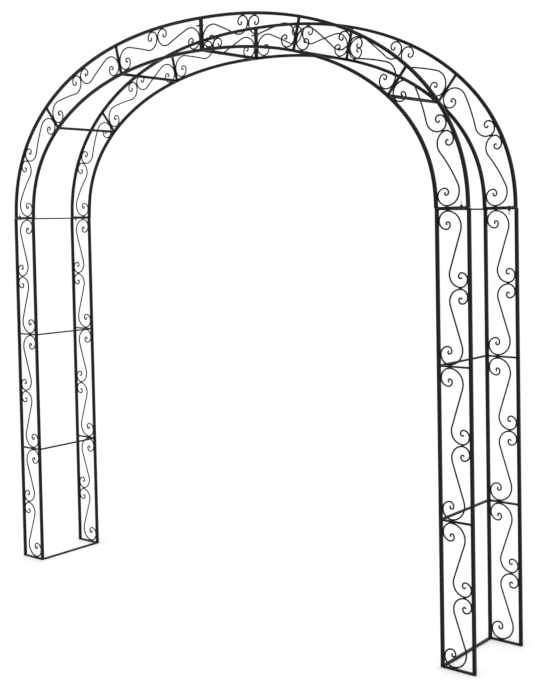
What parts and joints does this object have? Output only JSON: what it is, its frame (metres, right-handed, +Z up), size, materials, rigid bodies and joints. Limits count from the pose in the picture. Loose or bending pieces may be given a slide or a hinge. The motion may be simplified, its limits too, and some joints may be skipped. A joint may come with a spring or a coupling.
{
  "type": "garden arch",
  "caption": "Wide flat-topped garden arch of black painted steel bar: two scrollwork ladder arches tied by cross bars, bolted together from two legs and two half arches.",
  "frame": {"origin": "on the ground, midway between the four feet", "axes": "+X along the width of the walkway opening, +Y from the near ladder to the far ladder, +Z up"},
  "size_m": [2.512, 0.348, 2.4285],
  "materials": {
    "rail_paint": "satin black paint over square steel bar",
    "tie_paint": "satin black paint over flat steel bar",
    "scroll_paint": "satin black paint over round steel rod",
    "fastener": "dull zinc plate"
  },
  "bodies": {
    "root": {"arch_left_crown_tie": "tie_paint", "arch_left_far_inner_rail": "rail_paint", "arch_left_far_lower_scrolls_and_end_bar": "scroll_paint", "arch_left_far_middle_scrolls": "scroll_paint", "arch_left_far_outer_rail": "rail_paint", "arch_left_far_upper_scrolls": "scroll_paint", "arch_left_lower_tie": "tie_paint", "arch_left_near_inner_rail": "rail_paint", "arch_left_near_lower_scrolls_and_end_bar": "scroll_paint", "arch_left_near_middle_scrolls": "scroll_paint", "arch_left_near_outer_rail": "rail_paint", "arch_left_near_upper_scrolls": "scroll_paint", "arch_left_upper_tie": "tie_paint", "arch_right_crown_tie": "tie_paint", "arch_right_far_inner_rail": "rail_paint", "arch_right_far_lower_scrolls_and_end_bar": "scroll_paint", "arch_right_far_middle_scrolls": "scroll_paint", "arch_right_far_outer_rail": "rail_paint", "arch_right_far_upper_scrolls": "scroll_paint", "arch_right_lower_tie": "tie_paint", "arch_right_near_inner_rail": "rail_paint", "arch_right_near_lower_scrolls_and_end_bar": "scroll_paint", "arch_right_near_middle_scrolls": "scroll_paint", "arch_right_near_outer_rail": "rail_paint", "arch_right_near_upper_scrolls": "scroll_paint", "arch_right_upper_tie": "tie_paint", "crown_far_bolt": "fastener", "crown_near_bolt": "fastener", "leg_left_base_tie": "tie_paint", "leg_left_far_bolt": "fastener", "leg_left_far_inner_rail": "rail_paint", "leg_left_far_lower_scrolls": "scroll_paint", "leg_left_far_middle_scrolls": "scroll_paint", "leg_left_far_outer_rail": "rail_paint", "leg_left_far_upper_scrolls": "scroll_paint", "leg_left_lower_tie": "tie_paint", "leg_left_near_bolt": "fastener", "leg_left_near_inner_rail": "rail_paint", "leg_left_near_lower_scrolls": "scroll_paint", "leg_left_near_middle_scrolls": "scroll_paint", "leg_left_near_outer_rail": "rail_paint", "leg_left_near_upper_scrolls": "scroll_paint", "leg_left_top_tie": "tie_paint", "leg_left_upper_tie": "tie_paint", "leg_right_base_tie": "tie_paint", "leg_right_far_bolt": "fastener", "leg_right_far_inner_rail": "rail_paint", "leg_right_far_lower_scrolls": "scroll_paint", "leg_right_far_middle_scrolls": "scroll_paint", "leg_right_far_outer_rail": "rail_paint", "leg_right_far_upper_scrolls": "scroll_paint", "leg_right_lower_tie": "tie_paint", "leg_right_near_bolt": "fastener", "leg_right_near_inner_rail": "rail_paint", "leg_right_near_lower_scrolls": "scroll_paint", "leg_right_near_middle_scrolls": "scroll_paint", "leg_right_near_outer_rail": "rail_paint", "leg_right_near_upper_scrolls": "scroll_paint", "leg_right_top_tie": "tie_paint", "leg_right_upper_tie": "tie_paint"}
  },
  "joints": []
}
